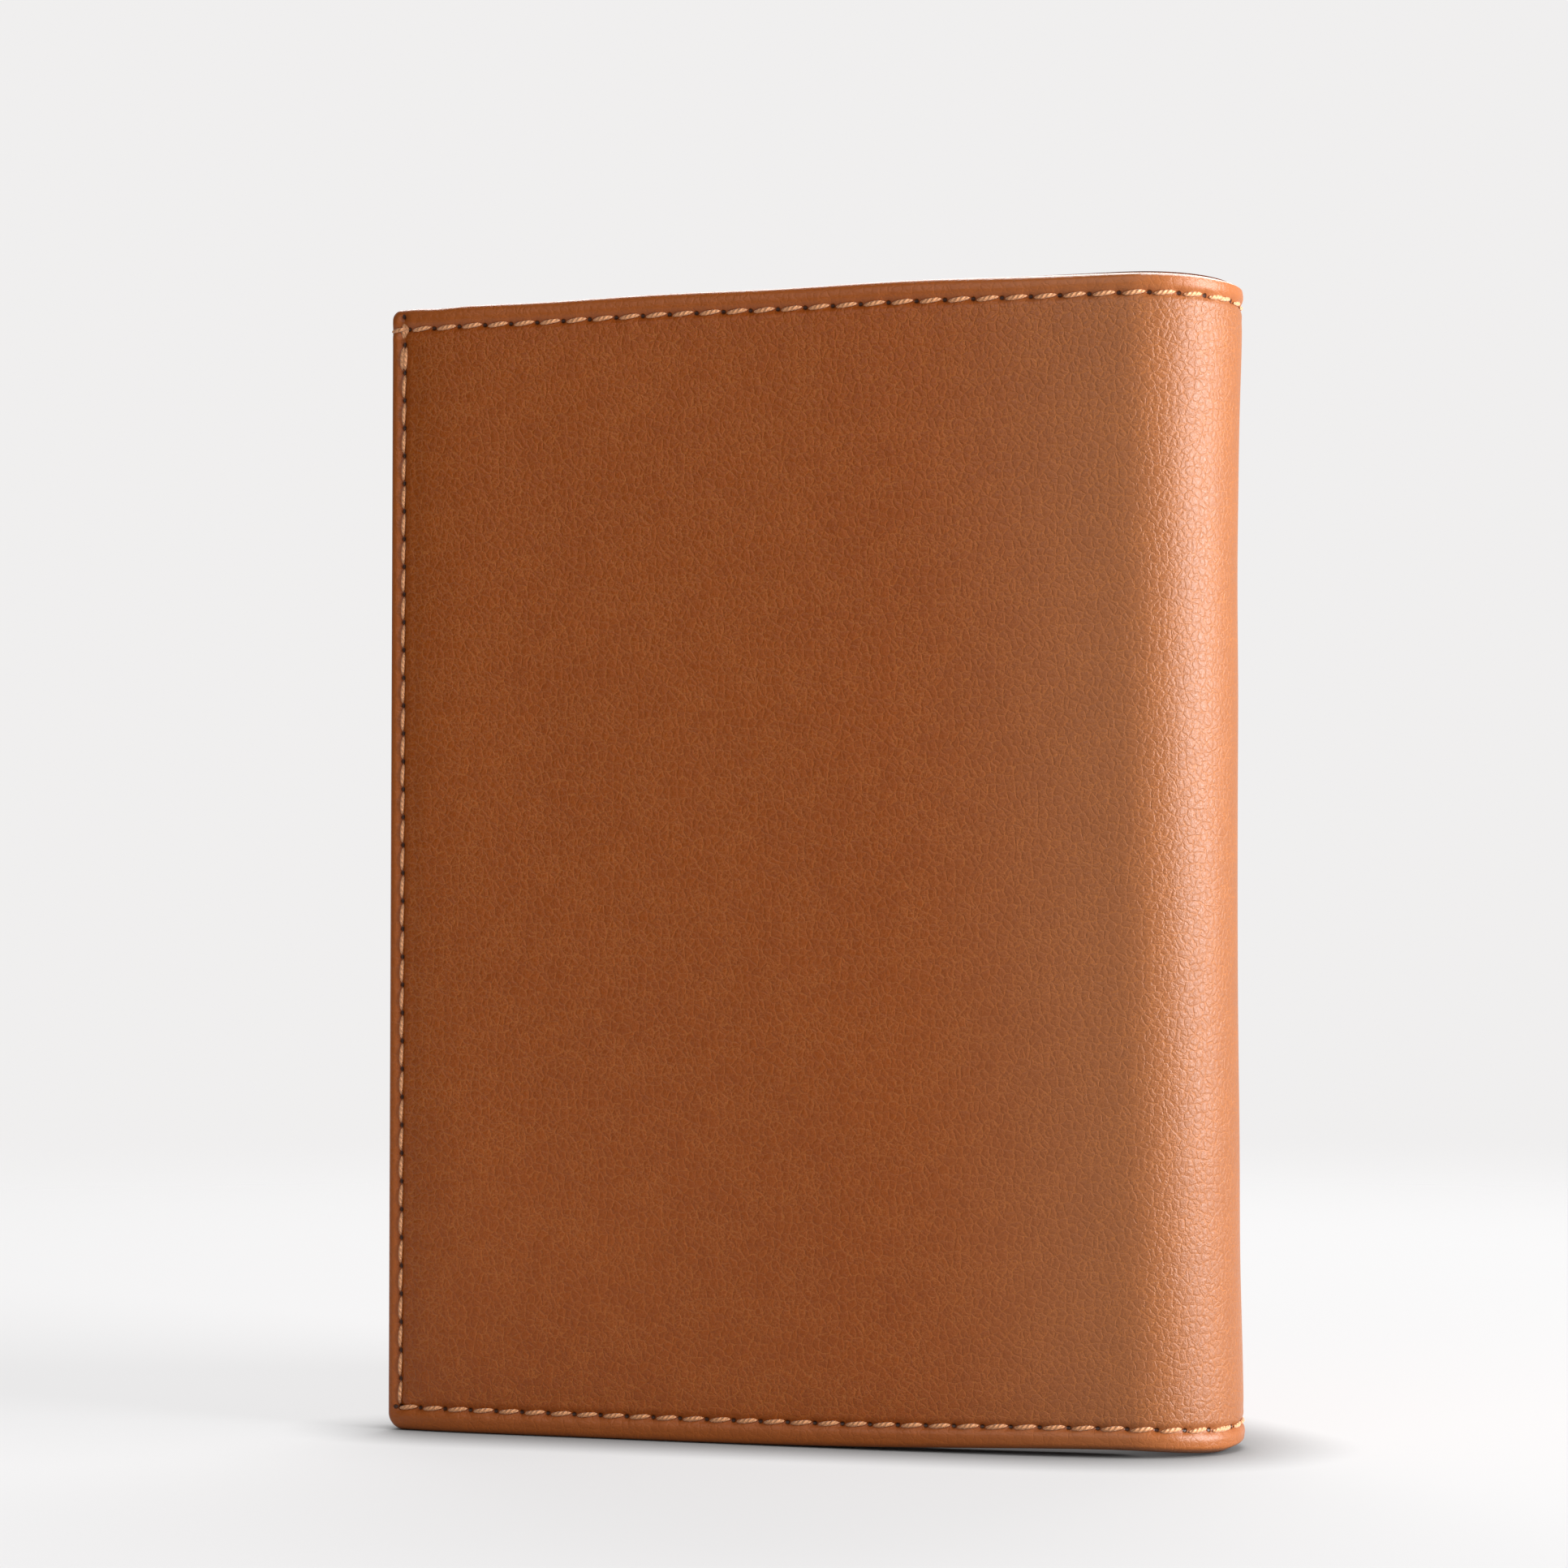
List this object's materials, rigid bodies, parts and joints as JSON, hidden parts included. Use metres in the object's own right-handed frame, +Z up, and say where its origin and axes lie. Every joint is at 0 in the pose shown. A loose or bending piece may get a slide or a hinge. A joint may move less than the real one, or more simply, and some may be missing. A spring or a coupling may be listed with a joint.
{
  "type": "bifold wallet",
  "caption": "Tall leather bifold wallet that folds round a soft rounded spine, with note pockets, stepped card pockets and a clear window inside.",
  "frame": {"origin": "middle of the bounding box's base, on the surface that the wallet stands on as it is pictured", "axes": "+Z up along the wallet's height; the back cover lies along X with its outer face towards -Y and its free edge at -X; the spine is at +X"},
  "size_m": [0.0991, 0.0862, 0.133],
  "materials": {
    "outer_leather": "fine tumbled grain, satin",
    "inner_leather": "smooth fine grain, satin",
    "lining": "plain woven cloth, matt",
    "board": "bonded leather fibre board, raw",
    "thread": "twisted polyester sewing thread",
    "film": "clear gloss vinyl"
  },
  "bodies": {
    "back_half": {"back_cover": "outer_leather", "back_board": "board", "back_lining": "lining", "back_panel": "inner_leather", "back_card_pocket_1": "inner_leather", "back_card_pocket_2": "inner_leather", "back_card_pocket_3": "inner_leather", "back_card_pocket_4": "inner_leather", "back_seam_thread": "thread", "back_hem_thread": "thread", "back_pocket_thread": "thread"},
    "spine_slat_1": {"spine_leather_1": "outer_leather", "spine_lining_1": "lining", "spine_thread_1": "thread"},
    "spine_slat_2": {"spine_leather_2": "outer_leather", "spine_lining_2": "lining", "spine_thread_2": "thread"},
    "spine_slat_3": {"spine_leather_3": "outer_leather", "spine_lining_3": "lining", "spine_thread_3": "thread"},
    "front_half": {"front_cover": "outer_leather", "front_board": "board", "front_lining": "lining", "front_panel": "inner_leather", "front_card_pocket_1": "inner_leather", "front_card_pocket_2": "inner_leather", "front_window_frame": "inner_leather", "front_window_film": "film", "front_seam_thread": "thread", "front_hem_thread": "thread", "front_pocket_thread": "thread"}
  },
  "joints": [
    {"name": "fold_1", "type": "hinge", "parent": "back_half", "child": "spine_slat_1", "pos_m": [0.03798, -0.04238, 0], "axis": [0, 0, -1], "range_deg": [-11.25, 33.75]},
    {"name": "fold_2", "type": "hinge", "parent": "spine_slat_1", "child": "spine_slat_2", "pos_m": [0.04585, -0.03712, 0], "axis": [0, 0, -1], "range_deg": [-11.25, 33.75]},
    {"name": "fold_3", "type": "hinge", "parent": "spine_slat_2", "child": "spine_slat_3", "pos_m": [0.04947, -0.02838, 0], "axis": [0, 0, -1], "range_deg": [-11.25, 33.75]},
    {"name": "fold_4", "type": "hinge", "parent": "spine_slat_3", "child": "front_half", "pos_m": [0.04763, -0.0191, 0], "axis": [0, 0, -1], "range_deg": [-11.25, 33.75]}
  ]
}
